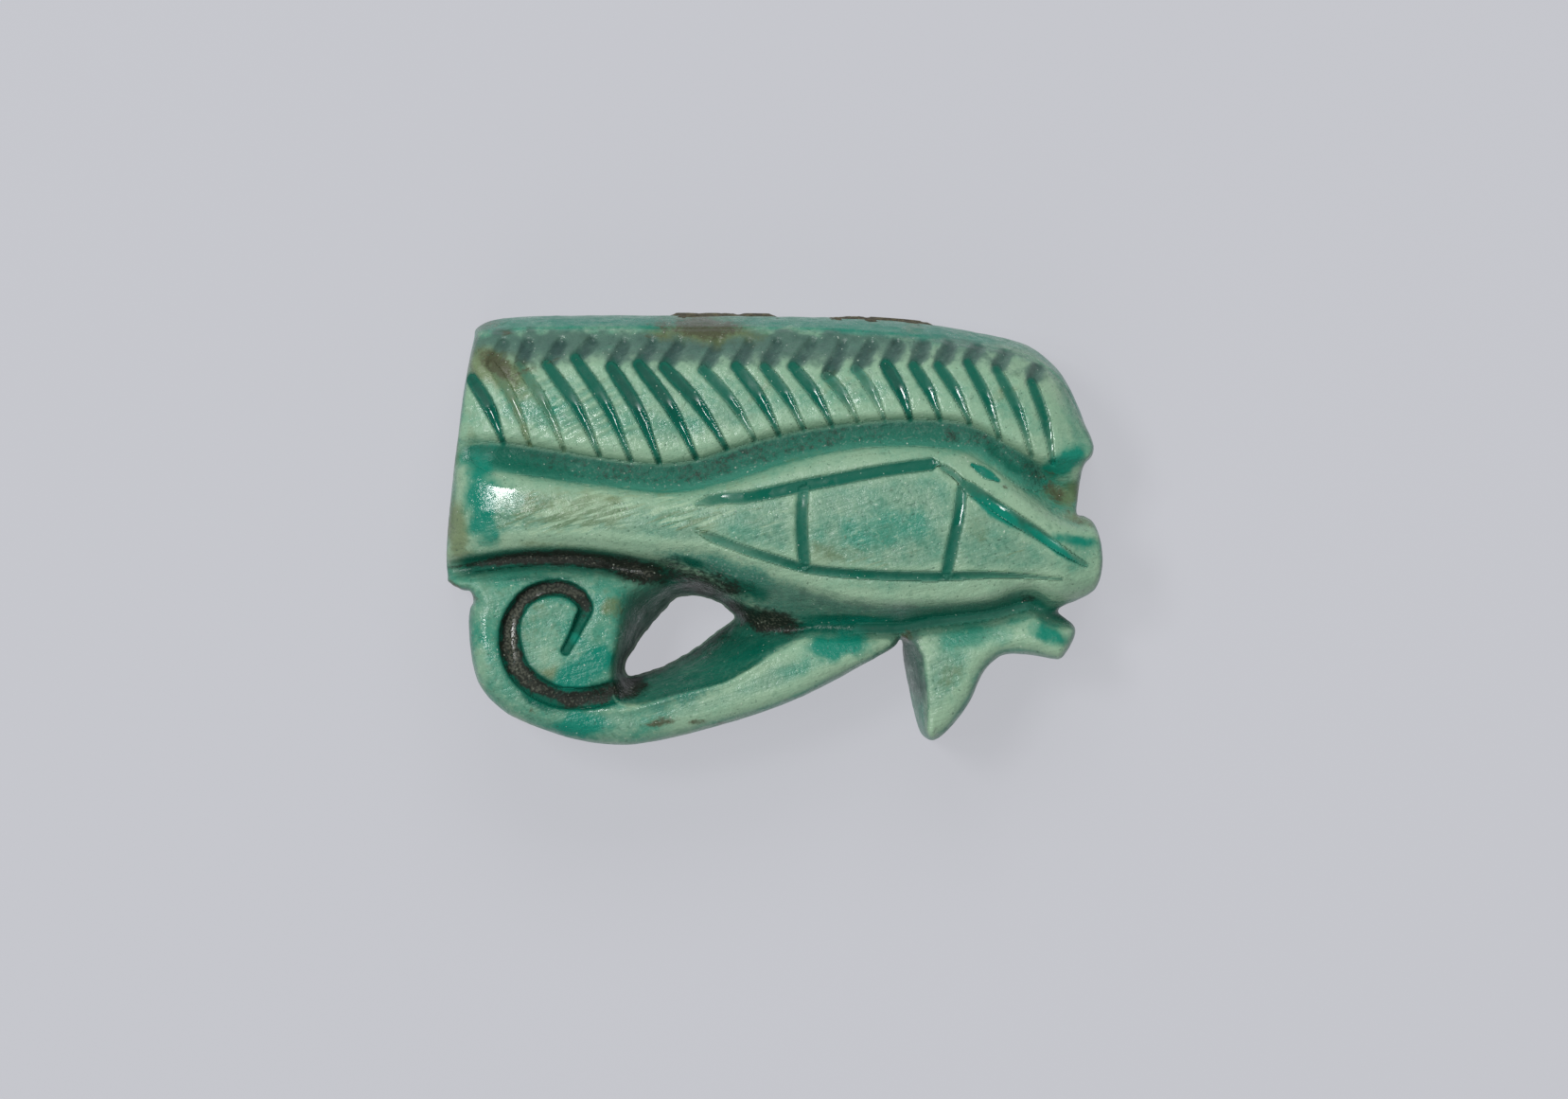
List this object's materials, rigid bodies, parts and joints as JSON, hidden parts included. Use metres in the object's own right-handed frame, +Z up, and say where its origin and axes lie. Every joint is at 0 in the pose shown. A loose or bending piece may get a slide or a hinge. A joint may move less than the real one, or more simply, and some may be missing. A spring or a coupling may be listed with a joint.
{
  "type": "stamp seal",
  "caption": "Small openwork stamp seal carved as an eye with a herringbone brow and a volute, with glaze pooled in its cut lines and a flat engraved face.",
  "frame": {"origin": "centre of the bounding box on the plane of the stamp face", "axes": "+X along the length from the volute end to the inner corner of the eye, +Y towards the brow, +Z up from the stamp face to the carved eye"},
  "size_m": [0.016, 0.0104, 0.005],
  "materials": {
    "pale_stone": "satin, thin worn glaze over carved stone",
    "teal_glaze": "glossy pooled glaze",
    "dark_glaze": "glossy pooled glaze with dark specks",
    "burial_crust": "matt brown crust"
  },
  "bodies": {
    "root": {"carved_body": "pale_stone", "brow_channel_glaze": "teal_glaze", "eye_line_glaze": "teal_glaze", "lid_nick_glaze": "teal_glaze", "lower_channel_glaze": "teal_glaze", "volute_arc_glaze": "dark_glaze", "spiral_glaze": "dark_glaze", "brow_stroke_glaze_01": "teal_glaze", "brow_stroke_glaze_02": "teal_glaze", "brow_stroke_glaze_03": "teal_glaze", "brow_stroke_glaze_04": "teal_glaze", "brow_stroke_glaze_05": "teal_glaze", "brow_stroke_glaze_06": "teal_glaze", "brow_stroke_glaze_07": "teal_glaze", "brow_stroke_glaze_08": "teal_glaze", "brow_stroke_glaze_09": "teal_glaze", "brow_stroke_glaze_10": "teal_glaze", "brow_stroke_glaze_11": "teal_glaze", "brow_stroke_glaze_12": "teal_glaze", "brow_stroke_glaze_13": "teal_glaze", "brow_stroke_glaze_14": "teal_glaze", "brow_stroke_glaze_15": "teal_glaze", "brow_stroke_glaze_16": "teal_glaze", "brow_stroke_glaze_17": "teal_glaze", "brow_stroke_glaze_18": "teal_glaze", "brow_stroke_glaze_19": "teal_glaze", "brow_stroke_glaze_20": "teal_glaze", "edge_crust_middle": "burial_crust", "edge_crust_right": "burial_crust"}
  },
  "joints": []
}
